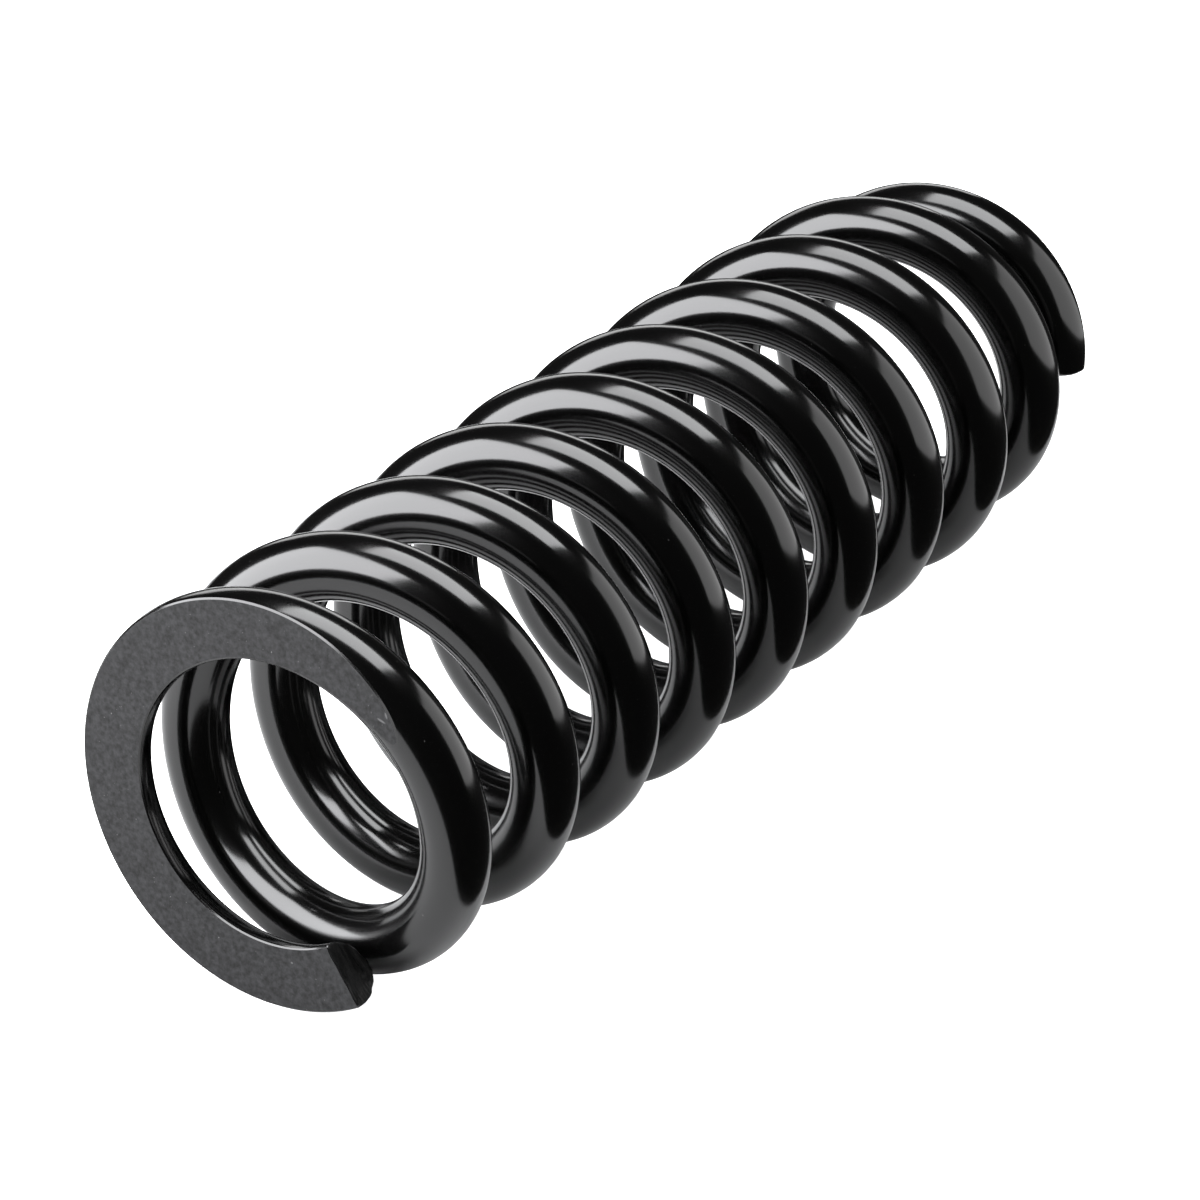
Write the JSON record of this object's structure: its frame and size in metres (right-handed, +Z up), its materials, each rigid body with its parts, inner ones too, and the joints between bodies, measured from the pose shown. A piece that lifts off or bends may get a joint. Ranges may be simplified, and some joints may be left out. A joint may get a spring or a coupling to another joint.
{
  "type": "coil spring",
  "caption": "Round-wire suspension compression spring, closed and ground at a wide end, tapering inwards at the other, divided into half turns that twist as it compresses.",
  "frame": {"origin": "on the surface the spring lies on, below the middle of its length and width", "axes": "+X along the coil axis from the wide ground end to the tapered end, +Z up from the surface it lies on"},
  "size_m": [0.27, 0.085, 0.0855],
  "materials": {
    "coated_wire": "gloss black powder coat over spring steel wire",
    "ground_end": "gloss black powder coat, with a satin dark grey ground face and a rough cropped tip"
  },
  "bodies": {
    "wide_end": {"wide_end_coil": "ground_end"},
    "half_turn_01": {"active_half_turn_01": "coated_wire"},
    "half_turn_02": {"active_half_turn_02": "coated_wire"},
    "half_turn_03": {"active_half_turn_03": "coated_wire"},
    "half_turn_04": {"active_half_turn_04": "coated_wire"},
    "half_turn_05": {"active_half_turn_05": "coated_wire"},
    "half_turn_06": {"active_half_turn_06": "coated_wire"},
    "half_turn_07": {"active_half_turn_07": "coated_wire"},
    "half_turn_08": {"active_half_turn_08": "coated_wire"},
    "half_turn_09": {"active_half_turn_09": "coated_wire"},
    "half_turn_10": {"active_half_turn_10": "coated_wire"},
    "half_turn_11": {"active_half_turn_11": "coated_wire"},
    "half_turn_12": {"active_half_turn_12": "coated_wire"},
    "half_turn_13": {"active_half_turn_13": "coated_wire"},
    "half_turn_14": {"active_half_turn_14": "coated_wire"},
    "tapered_end": {"tapered_end_coil": "ground_end"}
  },
  "joints": [
    {"name": "wire_twist_01", "type": "hinge", "parent": "wide_end", "child": "half_turn_01", "pos_m": [-0.10917, 0.0352, 0.04344], "axis": [0, 0, -1], "range_deg": [0, 6], "stiffness_Nm_per_rad": 20000, "springref_deg": -0.03},
    {"name": "wire_twist_02", "type": "hinge", "parent": "half_turn_01", "child": "half_turn_02", "pos_m": [-0.09428, -0.0352, 0.04344], "axis": [0, 0, 1], "range_deg": [0, 12]},
    {"name": "wire_twist_03", "type": "hinge", "parent": "half_turn_02", "child": "half_turn_03", "pos_m": [-0.07951, 0.0352, 0.04344], "axis": [0, 0, -1], "range_deg": [0, 12]},
    {"name": "wire_twist_04", "type": "hinge", "parent": "half_turn_03", "child": "half_turn_04", "pos_m": [-0.06473, -0.0352, 0.04344], "axis": [0, 0, 1], "range_deg": [0, 12]},
    {"name": "wire_twist_05", "type": "hinge", "parent": "half_turn_04", "child": "half_turn_05", "pos_m": [-0.04996, 0.0352, 0.04344], "axis": [0, 0, -1], "range_deg": [0, 12]},
    {"name": "wire_twist_06", "type": "hinge", "parent": "half_turn_05", "child": "half_turn_06", "pos_m": [-0.03518, -0.0352, 0.04344], "axis": [0, 0, 1], "range_deg": [0, 12]},
    {"name": "wire_twist_07", "type": "hinge", "parent": "half_turn_06", "child": "half_turn_07", "pos_m": [-0.02041, 0.0352, 0.04344], "axis": [0, 0, -1], "range_deg": [0, 12]},
    {"name": "wire_twist_08", "type": "hinge", "parent": "half_turn_07", "child": "half_turn_08", "pos_m": [-0.00563, -0.0352, 0.04344], "axis": [0, 0, 1], "range_deg": [0, 12]},
    {"name": "wire_twist_09", "type": "hinge", "parent": "half_turn_08", "child": "half_turn_09", "pos_m": [0.00914, 0.0352, 0.04344], "axis": [0, 0, -1], "range_deg": [0, 12]},
    {"name": "wire_twist_10", "type": "hinge", "parent": "half_turn_09", "child": "half_turn_10", "pos_m": [0.02392, -0.0352, 0.04344], "axis": [0, 0, 1], "range_deg": [0, 12]},
    {"name": "wire_twist_11", "type": "hinge", "parent": "half_turn_10", "child": "half_turn_11", "pos_m": [0.03869, 0.0352, 0.04344], "axis": [0, 0, -1], "range_deg": [0, 12]},
    {"name": "wire_twist_12", "type": "hinge", "parent": "half_turn_11", "child": "half_turn_12", "pos_m": [0.05347, -0.0352, 0.04344], "axis": [0, 0, 1], "range_deg": [0, 12]},
    {"name": "wire_twist_13", "type": "hinge", "parent": "half_turn_12", "child": "half_turn_13", "pos_m": [0.06824, 0.0352, 0.04344], "axis": [0, 0, -1], "range_deg": [0, 12]},
    {"name": "wire_twist_14", "type": "hinge", "parent": "half_turn_13", "child": "half_turn_14", "pos_m": [0.08302, -0.0352, 0.04344], "axis": [0, 0, 1], "range_deg": [0, 12]},
    {"name": "wire_twist_15", "type": "hinge", "parent": "half_turn_14", "child": "tapered_end", "pos_m": [0.09779, 0.03504, 0.04344], "axis": [0, 0, -1], "range_deg": [0, 6]}
  ],
  "couplings": [
    {"joint": "wire_twist_02", "follows": "wire_twist_01", "ratio": 2},
    {"joint": "wire_twist_03", "follows": "wire_twist_01", "ratio": 2},
    {"joint": "wire_twist_04", "follows": "wire_twist_01", "ratio": 2},
    {"joint": "wire_twist_05", "follows": "wire_twist_01", "ratio": 2},
    {"joint": "wire_twist_06", "follows": "wire_twist_01", "ratio": 2},
    {"joint": "wire_twist_07", "follows": "wire_twist_01", "ratio": 2},
    {"joint": "wire_twist_08", "follows": "wire_twist_01", "ratio": 2},
    {"joint": "wire_twist_09", "follows": "wire_twist_01", "ratio": 2},
    {"joint": "wire_twist_10", "follows": "wire_twist_01", "ratio": 2},
    {"joint": "wire_twist_11", "follows": "wire_twist_01", "ratio": 2},
    {"joint": "wire_twist_12", "follows": "wire_twist_01", "ratio": 2},
    {"joint": "wire_twist_13", "follows": "wire_twist_01", "ratio": 2},
    {"joint": "wire_twist_14", "follows": "wire_twist_01", "ratio": 2},
    {"joint": "wire_twist_15", "follows": "wire_twist_01", "ratio": 1}
  ]
}
